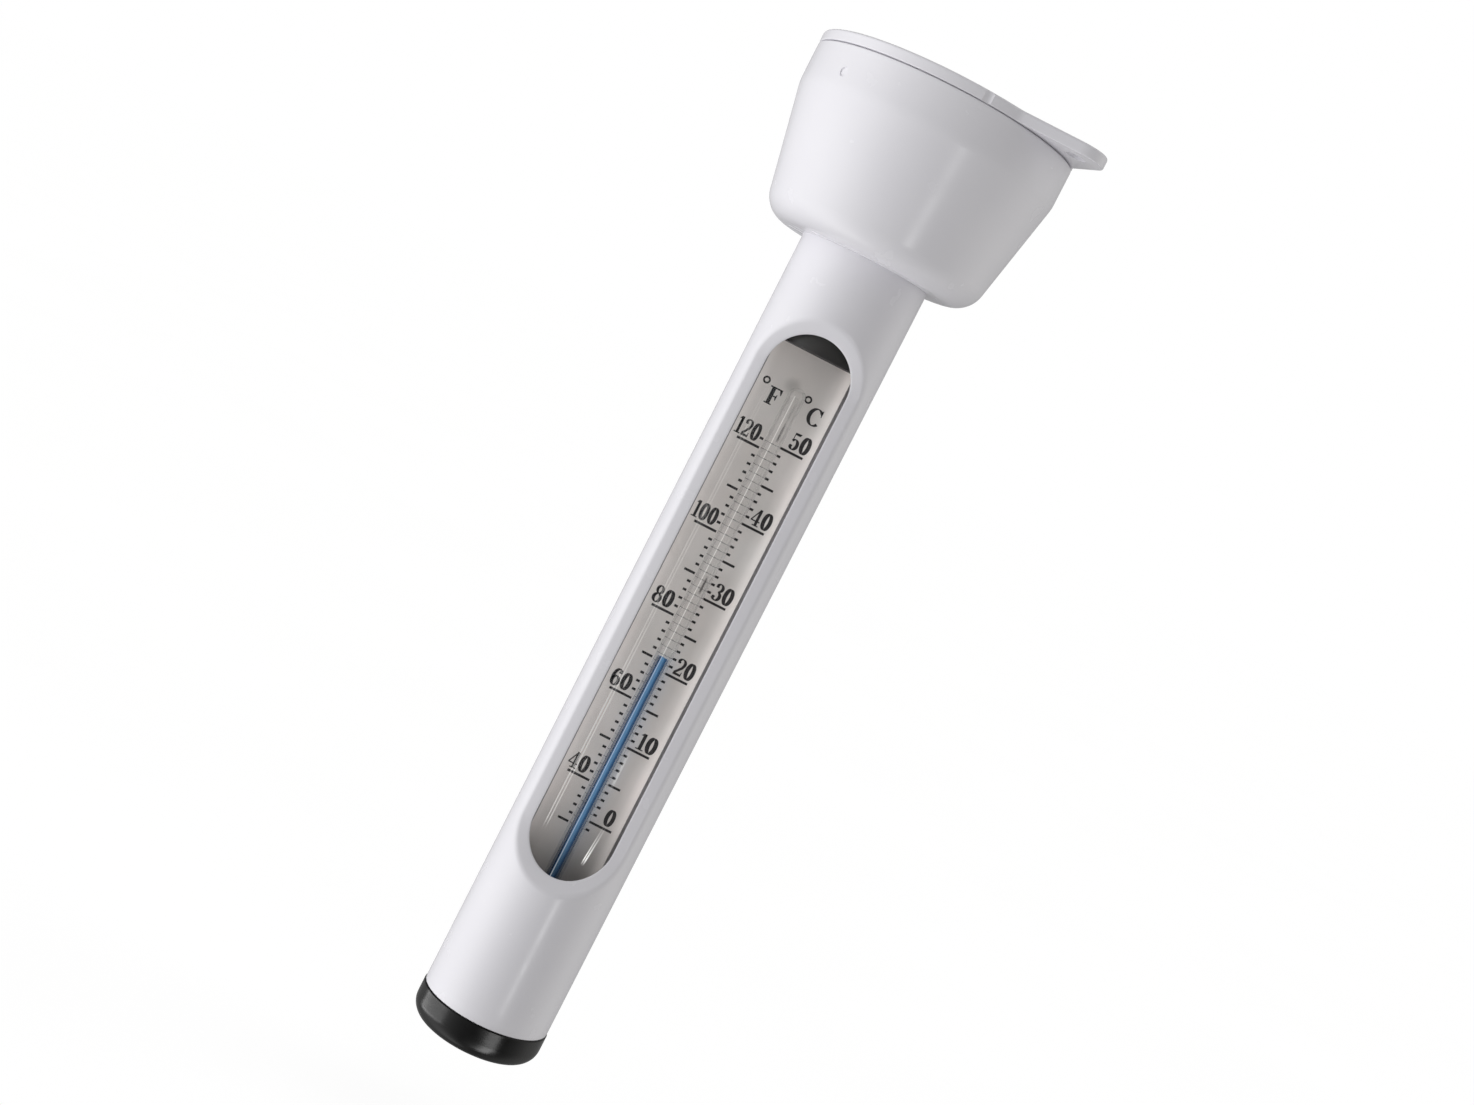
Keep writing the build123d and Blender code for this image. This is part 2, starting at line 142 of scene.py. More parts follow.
def ramp(tree, fac, stops, interpolation="LINEAR"):
    """A colour ramp over (position, colour) stops."""
    node = add_node(tree, "ShaderNodeValToRGB", {"Fac": fac})
    node.color_ramp.interpolation = interpolation
    elements = node.color_ramp.elements
    while len(elements) > 1:
        elements.remove(elements[-1])
    for i, (position, colour) in enumerate(stops):
        element = elements[0] if i == 0 else elements.new(position)
        element.position = position
        element.color = colour
    return node.outputs["Color"]


def noise(tree, place, scale, detail=2.0):
    node = add_node(tree, "ShaderNodeTexNoise", {"Vector": place, "Scale": scale, "Detail": detail})
    return node.outputs["Fac"]


def rescale(tree, value, low, high, from_low=0.3, from_high=0.7):
    """Maps a range of the value, by default where a noise mostly lies, onto low to high."""
    sockets = {"Value": value, "From Min": from_low, "From Max": from_high, "To Min": low, "To Max": high}
    return add_node(tree, "ShaderNodeMapRange", sockets).outputs["Result"]


def profile(tree, value, stops):
    """A grey level that follows (value, level) stops, from the first value to the last."""
    low, high = stops[0][0], stops[-1][0]
    shares = [((at - low) / (high - low), grey(level)) for at, level in stops]
    return ramp(tree, rescale(tree, value, 0.0, 1.0, low, high), shares)


def bump(tree, height, strength, distance, normal=None):
    inputs = {"Height": height, "Strength": strength, "Distance": distance}
    if normal is not None:
        inputs["Normal"] = normal
    return add_node(tree, "ShaderNodeBump", inputs).outputs["Normal"]


def object_place(tree):
    return add_node(tree, "ShaderNodeTexCoord").outputs["Object"]


def principled(tree, out, **inputs):
    named = {key.replace("_", " "): value for key, value in inputs.items()}
    shader = add_node(tree, "ShaderNodeBsdfPrincipled", named)
    tree.links.new(shader.outputs["BSDF"], out.inputs["Surface"])
    return shader


def schlick(tree, facing_on=0.04):
    """Share of the light a clear surface mirrors, which grows at a glancing angle."""
    away = add_node(tree, "ShaderNodeLayerWeight", {"Blend": 0.5}).outputs["Facing"]
    return math_node(tree, "MULTIPLY_ADD", math_node(tree, "POWER", away, 5.0), 1 - facing_on, facing_on)


GLINT_CORE = 0.3             # share of a glint's half-width that is fully bright


def glint(tree, azimuth, tilt, width, steps):
    """A painted reflection: how bright a thin upright strip light looks where the mirrored view ray meets it;
    it is added to a surface as emission.

    steps: (slope of the ray, radiance) from low to high; tilt turns the strip with the slope.
    """
    ray = split(tree, add_node(tree, "ShaderNodeTexCoord").outputs["Reflection"])
    turn = math_node(tree, "ARCTAN2", ray["X"], times(tree, ray["Y"], -1.0))
    squares = math_node(tree, "ADD", times(tree, ray["X"], ray["X"]), times(tree, ray["Y"], ray["Y"]))
    slope = math_node(tree, "DIVIDE", ray["Z"], math_node(tree, "SQRT", squares))
    middle = (steps[0][0] + steps[-1][0]) / 2
    centre = math_node(tree, "MULTIPLY_ADD", slope, math.radians(tilt), math.radians(azimuth - tilt * middle))
    off = math_node(tree, "ABSOLUTE", math_node(tree, "SUBTRACT", turn, centre))
    reach = math.radians(width)
    across = rescale(tree, off, 1.0, 0.0, reach * GLINT_CORE, reach)
    peak = max(radiance for _, radiance in steps)
    along = profile(tree, slope, [(slope_at, radiance / peak) for slope_at, radiance in steps])
    return times(tree, times(tree, across, along), peak)


# (azimuth, tilt, half-width in degrees, [(slope, radiance), ...]) of the painted glints: thin strip lights
# that exist only as emission in the sleeve's and the stem's materials
SLEEVE_PAINTED_GLINTS = [
    (-67.4, 0.0, 1.7, [(-0.235, 0.0), (-0.229, 9.0), (-0.19, 7.0), (-0.12, 4.5), (-0.02, 3.0), (0.01, 0.0)]),
    (50.4, 369.0, 2.2, [(-0.2425, 0.0), (-0.239, 24.0), (-0.232, 12.0), (-0.226, 5.0), (-0.219, 0.0)]),
    (26.7, 0.0, 2.0, [(-0.204, 0.0), (-0.198, 5.0), (-0.189, 4.0), (-0.180, 0.0)])]
STEM_PAINTED_GLINTS = [(-21.0, 0.0, 6.0, [(-0.30, 10.0), (0.02, 10.0), (0.05, 0.0)])]


def add_glints(tree, shader, mirrored, strips):
    """The shader with painted reflections of thin lights added on top as emission, which don't light other
    pieces.
    """
    total = 0.0
    for strip in strips:
        total = math_node(tree, "ADD", glint(tree, *strip), total)
    indirect = add_node(tree, "ShaderNodeLightPath").outputs["Is Diffuse Ray"]
    level = times(tree, times(tree, total, mirrored), math_node(tree, "SUBTRACT", 1.0, indirect))
    glow = add_node(tree, "ShaderNodeEmission", {"Color": (1.0, 0.985, 0.96, 1), "Strength": level})
    return add_node(tree, "ShaderNodeAddShader", {0: shader.outputs[0], 1: glow.outputs[0]})


# ---- materials ----------------------------------------------------------------------

def white_plastic():
    """Glossy white moulded plastic: faint mottle, moulding waviness and handling haze."""
    material, tree, out = new_material("white_plastic")
    place = object_place(tree)
    colour = ramp(tree, noise(tree, place, 60.0, 3.0),
                  [(0.3, (0.775, 0.766, 0.806, 1)), (0.7, (0.795, 0.786, 0.823, 1))])
    haze = rescale(tree, noise(tree, place, 160.0, 5.0), 0.21, 0.28)
    wave = bump(tree, noise(tree, place, 28.0, 0.0), 0.12, 0.0005)
    fine = bump(tree, noise(tree, place, 2200.0, 2.0), 0.1, 0.00003, wave)
    principled(tree, out, Base_Color=colour, Roughness=haze, IOR=1.5, Normal=fine)
    return material


def black_plastic():
    """Glossy black plastic with handling haze, a little greyer where the haze is."""
    material, tree, out = new_material("black_plastic")
    place = object_place(tree)
    haze = noise(tree, place, 230.0, 5.0)
    colour = ramp(tree, haze, [(0.3, grey(0.0015)), (0.75, grey(0.004))])
    fine = bump(tree, noise(tree, place, 1600.0, 2.0), 0.15, 0.00004)
    principled(tree, out, Base_Color=colour, Roughness=rescale(tree, haze, 0.2, 0.32), IOR=1.5,
               Specular_IOR_Level=0.17, Normal=fine)
    return material


def clear_wall(name, tint, gloss, roughness):
    """A thin clear wall: it lets light straight through, mirrors more at a glancing angle and carries painted
    glints.
    """
    material, tree, out = new_material(name)
    place = object_place(tree)
    mirrored = schlick(tree)
    through = clear(tree, ramp(tree, noise(tree, place, 90.0), [(0.3, tint), (0.7, grey(1.0))]))
    wave = bump(tree, noise(tree, place, 12.0, 0.0), 0.02, 0.0001)
    mirror = add_node(tree, "ShaderNodeBsdfGlossy", {"Roughness": roughness, "Normal": wave})
    seen = mixed(tree, times(tree, mirrored, gloss), through, mirror)
    shadow = add_node(tree, "ShaderNodeLightPath").outputs["Is Shadow Ray"]
    final = mixed(tree, shadow, seen, clear(tree, grey(0.97)))
    # painted reflections of thin strip lights, added to the sleeve as emission
    lit = add_glints(tree, final, mirrored, SLEEVE_PAINTED_GLINTS)
    tree.links.new(lit.outputs[0], out.inputs["Surface"])
    return material


BORE_REACH = 1.2             # the wall of the bore lies within this distance of the stem's axis
BORE_HIDDEN = 0.92           # share of the bore's wall that lets the eye straight through
GLASS_FAINT = 0.35           # and of the stem's outside
# painted dark reflections in the stem: where they stand across it, and (height, depth) stops, in millimetres
DARK_REFLECTION_X = 0.42
DARK_REFLECTION_CORE = 0.1
DARK_REFLECTION_REACH = 0.3
DARK_REFLECTION_STOPS = [(104.3, 0.0), (105.2, 0.9), (107.6, 0.8), (108.7, 0.0), (139.0, 0.0), (140.0, 0.65),
           (142.4, 0.6), (143.8, 0.1), (145.6, 0.3), (147.2, 0.25), (148.2, 0.0)]


def streaks(tree, place):
    """How dark the painted dark reflections in the empty part of the stem are."""
    axes = split(tree, place)
    beside = math_node(tree, "ABSOLUTE", math_node(tree, "SUBTRACT", axes["X"], DARK_REFLECTION_X * MM))
    across = rescale(tree, beside, 1.0, 0.0, DARK_REFLECTION_CORE * MM, DARK_REFLECTION_REACH * MM)
    along = profile(tree, axes["Z"], [(height * MM, depth) for height, depth in DARK_REFLECTION_STOPS])
    return times(tree, across, along)


def stem_glass():
    """Solid glass that bends what is behind it, but casts no black shadow; it carries painted dark
    reflections and a painted glint.
    """
    material, tree, out = new_material("stem_glass")
    place = object_place(tree)
    wave = bump(tree, noise(tree, place, 120.0, 1.0), 0.05, 0.0001)
    pure = ramp(tree, noise(tree, place, 200.0), [(0.3, (0.985, 0.985, 0.98, 1)), (0.7, grey(1.0))])
    glass = add_node(tree, "ShaderNodeBsdfGlass",
                     {"Color": pure, "Roughness": 0.0, "IOR": 1.52, "Normal": wave})
    # the wall of the bore is nearly invisible above the liquid
    offset = vector_node(tree, "SUBTRACT", place, (STEM_X * MM, STEM_Y * MM, 0.0))[0]
    flat = vector_node(tree, "MULTIPLY", offset, (1.0, 1.0, 0.0))[0]
    from_axis = vector_node(tree, "LENGTH", flat, (0.0, 0.0, 0.0))["Value"]
    bore = times(tree, math_node(tree, "LESS_THAN", from_axis, BORE_REACH * MM), BORE_HIDDEN)
    ray = add_node(tree, "ShaderNodeLightPath").outputs
    indirect = math_node(tree, "MAXIMUM", ray["Is Shadow Ray"], ray["Is Diffuse Ray"])
    share = math_node(tree, "MAXIMUM", indirect, math_node(tree, "MAXIMUM", bore, GLASS_FAINT))
    final = mixed(tree, share, glass, clear(tree, grey(0.99)))
    behind = add_node(tree, "ShaderNodeNewGeometry").outputs["Backfacing"]
    outside = times(tree, math_node(tree, "GREATER_THAN", from_axis, BORE_REACH * MM),
                    math_node(tree, "SUBTRACT", 1.0, behind))
    # painted dark reflections: a dark see-through layer over the stem's outside
    final = mixed(tree, times(tree, streaks(tree, place), outside), final, clear(tree, grey(0.25)))
    # a painted glint on the stem's outside, added as emission
    lit = add_glints(tree, final, times(tree, schlick(tree), outside), STEM_PAINTED_GLINTS)
    tree.links.new(lit.outputs[0], out.inputs["Surface"])
    return material


# painted shade on the card round the stem's tip: its place (x, z) on the card, and where it starts and ends
# to fade
TIP_SHADE_X = -1.8
TIP_SHADE_Z = 150.9
TIP_SHADE_CORE = 0.3
TIP_SHADE_REACH = 2.4


def card_stock():
    """Satin card: mottled, with painted shade at its foot and at the stem's tip, and painted light at its
    edges, glowing as emission for light that seeps in.
    """
    material, tree, out = new_material("card_stock")
    place = object_place(tree)
    axes = split(tree, place)
    mottle = ramp(tree, noise(tree, place, 75.0, 4.0),
                  [(0.3, (0.70, 0.645, 0.615, 1)), (0.7, (0.74, 0.70, 0.675, 1))])
    height = rescale(tree, axes["Z"], 0.0, 1.0, CARD_LOW.z * MM, CARD_HIGH.z * MM)
    # painted shade: the card is darker towards its foot, where the tube shades it inside
    foot = ramp(tree, height, [(0.01, grey(0.30)), (0.045, grey(0.43)), (0.085, grey(0.67)),
                               (0.15, grey(0.90)), (0.22, grey(1.0))])
    tip_shade_place = (TIP_SHADE_X * MM, CARD_FRONT * MM, TIP_SHADE_Z * MM)
    from_tip = vector_node(tree, "DISTANCE", place, tip_shade_place)["Value"]
    # painted shade: the card is darker round the stem's tip
    tip_shade = ramp(tree, rescale(tree, from_tip, 0.0, 1.0, TIP_SHADE_CORE * MM, TIP_SHADE_REACH * MM),
                  [(0.0, grey(0.72)), (1.0, grey(1.0))], "EASE")
    # the card's own mottle with the painted shade multiplied in
    mottle_and_shade = vector_node(tree, "MULTIPLY", mottle, foot)[0]
    mottle_and_shade = vector_node(tree, "MULTIPLY", mottle_and_shade, tip_shade)[0]
    width = rescale(tree, axes["X"], 0.0, 1.0, CARD_LOW.x * MM, CARD_HIGH.x * MM)
    # painted light: the card glows at its edges, most at the left, standing in for light that seeps in
    painted_edge_light = ramp(tree, width, [(0.0, grey(0.44)), (0.12, grey(0.26)), (0.3, grey(0.22)), (0.55, grey(0.13)),
                              (0.78, grey(0.07)), (0.88, grey(0.16)), (0.96, grey(0.38))])
    tooth = bump(tree, noise(tree, place, 1500.0, 3.0), 0.2, 0.00004)
    warp = bump(tree, noise(tree, place, 35.0, 1.0), 0.3, 0.0004, tooth)
    principled(tree, out, Base_Color=mottle_and_shade, Roughness=rescale(tree, noise(tree, place, 200.0), 0.45, 0.6),
               Normal=warp, Emission_Color=mottle_and_shade, Emission_Strength=painted_edge_light)
    return material


def ink():
    """Printed black ink, slightly patchy."""
    material, tree, out = new_material("black_ink")
    place = object_place(tree)
    colour = ramp(tree, noise(tree, place, 1800.0, 3.0),
                  [(0.35, (0.006, 0.004, 0.005, 1)), (0.7, (0.025, 0.018, 0.02, 1))])
    principled(tree, out, Base_Color=colour, Roughness=0.5)
    return material


def blue_liquid():
    """Blue spirit with its light painted in: a painted bright band where the light comes through, painted
    navy shade down both sides.
    """
    material, tree, out = new_material("blue_liquid")
    place = object_place(tree)
    # painted light and shade: the colour follows which way the surface faces sideways
    sideways = split(tree, add_node(tree, "ShaderNodeNewGeometry").outputs["Normal"])["X"]
    streak = add_node(tree, "ShaderNodeMapping", {"Vector": place, "Scale": (1.0, 1.0, 0.06)}).outputs[0]
    uneven = math_node(tree, "MULTIPLY_ADD", noise(tree, streak, 2200.0), 0.14, -0.07)
    across = math_node(tree, "ADD", math_node(tree, "MULTIPLY_ADD", sideways, 0.5, 0.5), uneven)
    painted_navy_shade = (0.010, 0.050, 0.13, 1)
    edge = (0.003, 0.02, 0.07, 1)
    painted_lit_blue = (0.12, 0.28, 0.50, 1)
    colour = ramp(tree, across, [(0.0, painted_navy_shade), (0.17, edge), (0.27, (0.07, 0.20, 0.42, 1)), (0.37, painted_lit_blue),
                                 (0.62, (0.11, 0.27, 0.50, 1)), (0.74, (0.04, 0.13, 0.29, 1)),
                                 (0.83, (0.025, 0.09, 0.20, 1)), (1.0, (0.025, 0.08, 0.18, 1))])
    # painted shade: it gets darker towards the window's foot (heights in metres)
    painted_window_foot_shade = ramp(tree, split(tree, place)["Z"], [(0.038, grey(0.35)), (0.05, grey(1.0))])
    shade = vector_node(tree, "MULTIPLY", colour, painted_window_foot_shade)[0]
    # painted light: the spirit glows faintly in its own painted colour
    body = principled(tree, out, Base_Color=shade, Roughness=0.4, Specular_IOR_Level=0.1,
                      Emission_Color=shade, Emission_Strength=0.22)
    # light that falls on the card has come through the liquid, so it is tinted and not blocked
    ray = add_node(tree, "ShaderNodeLightPath").outputs
    passing = math_node(tree, "MAXIMUM", ray["Is Shadow Ray"], ray["Is Diffuse Ray"])
    final = mixed(tree, passing, body, clear(tree, (0.62, 0.80, 1.0, 1)))
    tree.links.new(final.outputs[0], out.inputs["Surface"])
    return material


def rubber(name, level):
    """Matte rubber with a fine moulded grain and dusty patches."""
    material, tree, out = new_material(name)
    place = object_place(tree)
    plain = (level * 1.1, level, level * 0.95, 1)
    dusty = (level * 1.9, level * 1.7, level * 1.65, 1)
    colour = ramp(tree, noise(tree, place, 260.0, 5.0), [(0.3, plain), (0.72, dusty)])
    grain = bump(tree, noise(tree, place, 900.0, 4.0), 0.5, 0.00012)
    patches = rescale(tree, noise(tree, place, 300.0), 0.55, 0.75)
    principled(tree, out, Base_Color=colour, Roughness=patches, Normal=grain)
    return material


def turned_steel():
    """Turned steel: fine rings along the axis and a few dull patches."""
    material, tree, out = new_material("turned_steel")
    place = object_place(tree)
    rings = add_node(tree, "ShaderNodeTexWave", {"Vector": place, "Scale": 900.0, "Distortion": 0.6},
                     bands_direction="Z").outputs["Fac"]
    colour = ramp(tree, noise(tree, place, 150.0, 4.0), [(0.3, grey(0.42)), (0.7, grey(0.6))])
    dullness = rescale(tree, rings, 0.25, 0.42, 0.0, 1.0)
    principled(tree, out, Base_Color=colour, Metallic=1.0, Roughness=dullness,
               Normal=bump(tree, rings, 0.25, 0.00003))
    return material


WHITE = white_plastic()
BLACK = black_plastic()
SLEEVE = clear_wall("clear_sleeve", (0.955, 0.962, 0.96, 1), 0.2, 0.03)
GLASS = stem_glass()
CARD = card_stock()
INK = ink()
BLUE = blue_liquid()
RUBBER = rubber("black_rubber", 0.015)
FOAM = rubber("grey_foam", 0.14)
STEEL = turned_steel()

NODE_FINISH = {
    "float_bowl": WHITE, "float_lid": WHITE, "tube_plug": WHITE, "end_cap": BLACK,
    "window_sleeve": SLEEVE, "glass_stem": GLASS, "scale_card": CARD, "bulb_liquid": BLUE,
    "indicator_meniscus": BLUE, "upper_bung": RUBBER, "lower_bung": RUBBER, "end_cap_seal": RUBBER,
    "tube_plug_seal": RUBBER, "collar_seal": RUBBER, "lid_seal": RUBBER, "bulb_pad": FOAM,
    "ballast_weight": STEEL,
}
for node_name, finish in NODE_FINISH.items():
    NODES[node_name].data.materials.clear()
    NODES[node_name].data.materials.append(finish)


# ---- mesh helpers -------------------------------------------------------------------

JOIN_DISTANCE = 1e-7


def make_piece(name, points, faces, material, sharp_degrees=32.0):
    """A smooth-shaded mesh piece from points in millimetres; doubled points are joined."""
    mesh = bpy.data.meshes.new(name)
    mesh.from_pydata([Vector(p) * MM for p in points], [], faces)
    bm = bmesh.new()
    bm.from_mesh(mesh)
    bmesh.ops.remove_doubles(bm, verts=bm.verts, dist=JOIN_DISTANCE)
    bmesh.ops.recalc_face_normals(bm, faces=bm.faces)
    bm.to_mesh(mesh)
    bm.free()
    mesh.materials.append(material)
    mesh.polygons.foreach_set("use_smooth", [True] * len(mesh.polygons))
    mesh.set_sharp_from_angle(angle=math.radians(sharp_degrees))
    piece = bpy.data.objects.new(name, mesh)
    SCENE.collection.objects.link(piece)
    return piece


class Sheet:
    """Gathers points and quads from rows of points."""

    def __init__(self):
        self.points = []
        self.faces = []

    def add_rows(self, rows, closed=False):
        start = len(self.points)
        width = len(rows[0])
        for row in rows:
            self.points.extend(row)
        span = width if closed else width - 1
        for i in range(len(rows) - 1):
            for j in range(span):
                a = start + i * width + j
                b = start + i * width + (j + 1) % width
                self.faces.append((a, b, b + width, a + width))


# ---- casing tube with the window's soft bezel ---------------------------------------
SIDE_STEPS = 44
END_STEPS = 56
# shares of the way from the opening to the rim at which the bezel has its rings
BEZEL_LIP = 0.03
BEZEL_EDGE = 0.08
BEZEL_REST = [0.2, 0.4, 0.6, 0.75]
RIM_SOFTNESS = 0.25
RIM_STEPS = 6
SPREAD_STEPS = 9
SPREAD_POWER = 1.3           # the rings stand closer together near the rim
PATCH_MARGIN = 9.0           # the curved patch reaches this far past the window's arcs
LIP_ROUND = 0.12
BACK_STEPS = 64
END_LEVELS = 6
EDGE_ROUND = 0.25
FOOT_STEPS = 4
NEARLY = 1e-9                # values closer than this count as the same


def outline_steps():
    """(level of the arc's centre, cos, sin) for each point around the window."""
    rise = HIGH_ARC - LOW_ARC
    steps = [(LOW_ARC + rise * i / SIDE_STEPS, 1.0, 0.0) for i in range(SIDE_STEPS)]
    for i in range(END_STEPS):
        angle = math.pi * i / END_STEPS
        steps.append((HIGH_ARC, math.cos(angle), math.sin(angle)))
    steps += [(HIGH_ARC - rise * i / SIDE_STEPS, -1.0, 0.0) for i in range(SIDE_STEPS)]
    for i in range(END_STEPS):
        angle = math.pi * (1 + i / END_STEPS)
        steps.append((LOW_ARC, math.cos(angle), math.sin(angle)))
    return steps


OUTLINE = outline_steps()


def on_front(radius, x, z):
    return Vector((x, -math.sqrt(max(radius**2 - x**2, 0.0)), z))


def rim_at(radius, half, step):
    level, along, rise = step
    return on_front(radius, half * along, level + half * rise)


def bezel_at(share, step):
    """A point on the straight line from the opening's edge to the rim on the tube."""
    inner = rim_at(LAND_R, WINDOW_HALF, step)
    return inner.lerp(rim_at(TUBE_R, RIM_HALF, step), share)


def soft_rim_at(t, step):
    """A curve that leaves the bezel, rounds the rim and lies down on the tube."""
    a = bezel_at(1.0 - RIM_SOFTNESS, step)
    b = bezel_at(1.0, step)
    c = rim_at(TUBE_R, RIM_HALF + RIM_SOFTNESS * (RIM_HALF - WINDOW_HALF), step)
    return a * (1 - t) ** 2 + b * 2 * t * (1 - t) + c * t**2


PATCH_LOW = LOW_ARC - WINDOW_HALF - PATCH_MARGIN
PATCH_HIGH = HIGH_ARC + WINDOW_HALF + PATCH_MARGIN


def patch_edge(step):
    """(angle, z) where the outline point lands on the patch's straight border."""
    level, along, rise = step
    if rise == 0.0:
        return math.copysign(math.pi / 2, along), level
    reach = (PATCH_HIGH - HIGH_ARC) if rise > 0 else (LOW_ARC - PATCH_LOW)
    if abs(along) >= abs(rise):
        return math.copysign(math.pi / 2, along), level + reach * rise / abs(along)
    return math.pi / 2 * along / abs(rise), level + math.copysign(reach, rise)


def around(radius, angle, z):
    return Vector((radius * math.sin(angle), -radius * math.cos(angle), z))


def spread_row(radius, share, start_row):
    """A ring between the rim and the patch's border, on the tube of this radius."""
    row = []
    for step, start in zip(OUTLINE, start_row):
        start_angle = math.atan2(start.x, -start.y)
        end_angle, end_z = patch_edge(step)
        angle = start_angle + (end_angle - start_angle) * share
        row.append(around(radius, angle, start.z + (end_z - start.z) * share))
    return row


def spread_rows(radius, start_row):
    return [spread_row(radius, (i / SPREAD_STEPS) ** SPREAD_POWER, start_row)
            for i in range(1, SPREAD_STEPS + 1)]


def patch_rows():
    """Rings from the bore, through the opening's wall and over the bezel, out to the patch's border."""
    # the opening's own wall, with a small rounded lip towards the bezel
    wall = [rim_at(BORE_R, WINDOW_HALF, step) for step in OUTLINE]
    lip = []
    for step, wall_point in zip(OUTLINE, wall):
        corner = bezel_at(0.0, step)
        lip.append(corner + (wall_point - corner).normalized() * LIP_ROUND)
    knee = [(bezel_at(BEZEL_LIP, step) * 0.5 + corner * 0.5) for step, corner in zip(OUTLINE, lip)]
    edge = [bezel_at(BEZEL_EDGE, step) for step in OUTLINE]
    slope = [[bezel_at(share, step) for step in OUTLINE] for share in BEZEL_REST]
    rim = [[soft_rim_at(i / RIM_STEPS, step) for step in OUTLINE] for i in range(1, RIM_STEPS + 1)]
    inner = spread_rows(BORE_R, wall)[::-1]
    return inner + [wall, lip, knee, edge] + slope + rim + spread_rows(TUBE_R, rim[-1])


def even_levels(low, high):
    return [low + (high - low) * i / END_LEVELS for i in range(END_LEVELS + 1)]


def casing_sheet():
    """The whole tube: the window's patch, the back, both ends and their rims."""
    casing = Sheet()
    casing.add_rows(patch_rows(), closed=True)
    border = [patch_edge(step) for step in OUTLINE]
    side_levels = sorted({round(z, 6) for angle, z in border if abs(angle - math.pi / 2) < NEARLY})
    front_angles = sorted({round(angle, 9) for angle, z in border if abs(z - PATCH_HIGH) < NEARLY})
    back_angles = [math.pi / 2 + math.pi * i / BACK_STEPS for i in range(BACK_STEPS + 1)]
    full_circle = front_angles + back_angles[1:-1]

    def rings(radius, angles, heights):
        return [[around(radius, angle, z) for angle in angles] for z in heights]

    low_levels = even_levels(TUBE_LOW + EDGE_ROUND, PATCH_LOW)
    high_levels = even_levels(PATCH_HIGH, TUBE_HIGH)
    for radius in (TUBE_R, BORE_R):
        casing.add_rows(rings(radius, back_angles, side_levels))
        casing.add_rows(rings(radius, full_circle, low_levels), closed=True)
        casing.add_rows(rings(radius, full_circle, high_levels), closed=True)
    foot = []
    for i in range(FOOT_STEPS + 1):
        turn = math.pi / 2 * i / FOOT_STEPS
        radius = TUBE_R - EDGE_ROUND * (1 - math.cos(turn))
        foot += rings(radius, full_circle, [TUBE_LOW + EDGE_ROUND * (1 - math.sin(turn))])
    foot += rings(BORE_R, full_circle, [TUBE_LOW, TUBE_LOW + EDGE_ROUND])
    casing.add_rows(foot, closed=True)
    head = [rings(radius, full_circle, [TUBE_HIGH])[0] for radius in (TUBE_R, BORE_R)]
    casing.add_rows(head, closed=True)
    return casing


casing = casing_sheet()
casing_shell = make_piece("casing_shell", casing.points, casing.faces, WHITE)
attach(casing_shell, BODY)
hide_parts("casing_tube")


# ---- printed scale: ticks, numbers and headers as thin layers of ink -----------------
INK_LOW = 0.002              # the ink stands on the card between these two heights
INK_HIGH = 0.02
PRINT_SHIFT = -0.25          # the print sits left of the middle, as the card does
ZERO_C = 51.48               # height of 0 degrees Celsius
PER_DEGREE = 1.742           # millimetres per degree Celsius
F_PER_C = 1.8
F_AT_ZERO_C = 32
C_DEGREES = range(-1, 51)
F_DEGREES = range(30, 123, 2)
TICK_THICK = 0.52
GHOST_THICK = 0.12
FIGURE_HEIGHT = 3.7
FIGURE_LIFT = 0.7


class Print:
    """Flat ink outlines on the card, each a convex quad or a strip of quads."""

    def __init__(self):
        self.points = []
        self.faces = []

    def quad(self, corners):
        """A raised plate over four (x, z) corners given in order."""
        base = len(self.points)
        for y in (CARD_FRONT - INK_LOW, CARD_FRONT - INK_HIGH):
            for x, z in corners:
                self.points.append((x + PRINT_SHIFT, y, z))
        for i in range(4):
            j = (i + 1) % 4
            self.faces.append((base + i, base + j, base + 4 + j, base + 4 + i))
        self.faces.append((base, base + 1, base + 2, base + 3))
        self.faces.append((base + 4, base + 5, base + 6, base + 7))

    def bar(self, x0, x1, z0, z1):
        self.quad([(x0, z0), (x1, z0), (x1, z1), (x0, z1)])

    def strip(self, left, right):
        """A raised band between two rails of (x, z) points, with an end face at both ends.

        Where the rails run full circle, the two end faces lie on each other inside the ring.
        """
        base = len(self.points)
        count = len(left)
        for y in (CARD_FRONT - INK_LOW, CARD_FRONT - INK_HIGH):
            for rail in (left, right):
                for x, z in rail:
                    self.points.append((x + PRINT_SHIFT, y, z))
        back_left, back_right, front_left, front_right = (base + count * i for i in range(4))
        sides = ((back_left, back_right), (front_left, front_right),
                 (back_left, front_left), (back_right, front_right))
        for i in range(count - 1):
            for one, other in sides:
                self.faces.append((one + i, one + i + 1, other + i + 1, other + i))
        for i in (0, count - 1):
            self.faces.append((back_left + i, back_right + i, front_right + i, front_left + i))


def arc(centre_x, centre_y, reach_x, reach_y, start, end, steps=18):
    """Points on an ellipse between two angles in degrees."""
    points = []
    for i in range(steps + 1):
        angle = math.radians(start + (end - start) * i / steps)
        points.append((centre_x + reach_x * math.cos(angle), centre_y + reach_y * math.sin(angle)))
    return points


PEN_POWER = 1.6              # how soon a stroke gets thin as it turns from upright to level


def pen(path, thin, thick):
    """Left and right rails of a pen stroke that is thick where it runs upright."""
    left, right = [], []
    for i, (x, y) in enumerate(path):
        x0, y0 = path[max(i - 1, 0)]
        x1, y1 = path[min(i + 1, len(path) - 1)]
        length = math.hypot(x1 - x0, y1 - y0) or 1.0
        dx, dy = (x1 - x0) / length, (y1 - y0) / length
        width = thin + (thick - thin) * abs(dy) ** PEN_POWER
        left.append((x - dy * width / 2, y + dx * width / 2))
        right.append((x + dy * width / 2, y - dx * width / 2))
    return left, right


# pen widths and the balls' size, as shares of a figure's height
THIN = 0.065
BALL = 0.085
BALL_RISE = 0.8              # a ball's height against its width


def oval(x, y, reach_x, reach_y, thick):
    return ("pen", arc(x, y, reach_x, reach_y, 90, 450, 40), thick)


